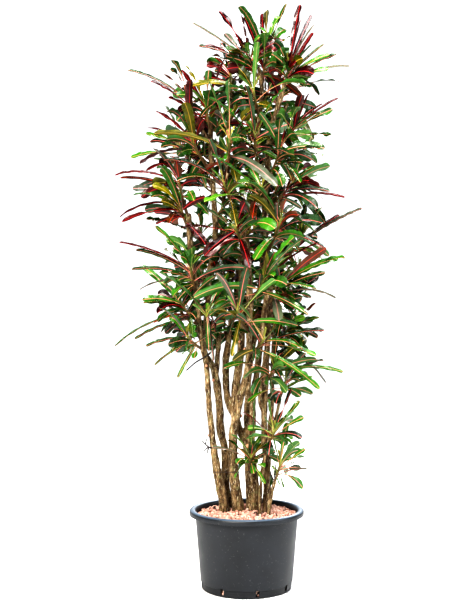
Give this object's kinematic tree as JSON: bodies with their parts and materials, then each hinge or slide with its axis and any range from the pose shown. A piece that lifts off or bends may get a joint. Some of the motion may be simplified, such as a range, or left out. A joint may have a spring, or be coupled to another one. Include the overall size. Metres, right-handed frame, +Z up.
{
  "type": "potted croton",
  "caption": "Tall bushy croton on bare woody canes, with long red, bronze and green leaves, in a round nursery pot of clay granules.",
  "frame": {"origin": "middle of the pot's flat base", "axes": "+Z up along the plant, +X to the viewer's right, +Y away from the viewer"},
  "size_m": [0.795, 0.6109, 1.836],
  "materials": {
    "pot_plastic": "charcoal moulded plastic, satin, with a faint speckle",
    "baked_clay": "dry fired clay granules, matt, pinkish tan",
    "tie_wire": "thin dark coated binding wire",
    "bark": "rough brown and grey mottled bark with leaf scars",
    "leaf_red": "glossy maroon and bronze leaves with bright red midribs",
    "leaf_mixed": "glossy green, bronze and maroon leaves with coloured midribs",
    "leaf_green": "glossy deep green leaves with yellow and salmon midribs",
    "leaf_fresh": "glossy fresh green young leaves with yellow midribs"
  },
  "bodies": {
    "root": {"pot": "pot_plastic", "clay_granules": "baked_clay", "tie_wire": "tie_wire", "cane_left": "bark", "cane_rear_left": "bark", "cane_middle": "bark", "cane_fork": "bark", "cane_thin": "bark", "cane_right": "bark", "cane_low": "bark", "cane_rear_right": "bark", "top_left": "leaf_red", "top_middle": "leaf_red", "top_right": "leaf_red", "top_rear": "leaf_mixed", "high_left": "leaf_red", "high_front": "leaf_mixed", "upper_left_a": "leaf_red", "upper_left_b": "leaf_red", "upper_left_c": "leaf_red", "upper_left_d": "leaf_red", "upper_left_f": "leaf_red", "upper_left_g": "leaf_red", "upper_front_a": "leaf_mixed", "upper_front_b": "leaf_mixed", "upper_front_c": "leaf_mixed", "upper_front_d": "leaf_red", "upper_front_e": "leaf_mixed", "upper_rear_a": "leaf_mixed", "upper_rear_b": "leaf_mixed", "upper_rear_c": "leaf_mixed", "upper_rear_d": "leaf_green", "upper_right_a": "leaf_green", "upper_right_b": "leaf_mixed", "upper_right_c": "leaf_green", "upper_right_d": "leaf_mixed", "middle_right_a": "leaf_mixed", "middle_right_b": "leaf_green", "middle_right_c": "leaf_green", "middle_right_d": "leaf_green", "middle_rear_a": "leaf_mixed", "middle_rear_b": "leaf_green", "middle_rear_c": "leaf_green", "middle_rear_d": "leaf_green", "middle_front_a": "leaf_green", "middle_front_b": "leaf_green", "middle_left_a": "leaf_green", "middle_left_b": "leaf_green", "middle_left_c": "leaf_green", "lower_left": "leaf_green", "lower_front_left": "leaf_green", "lower_front": "leaf_green", "lower_right_a": "leaf_green", "lower_right_b": "leaf_green", "lower_right_c": "leaf_green", "lower_rear": "leaf_green", "lower_right_d": "leaf_green", "low_shoot_a": "leaf_fresh", "low_shoot_b": "leaf_fresh", "low_shoot_c": "leaf_fresh"}
  },
  "joints": []
}
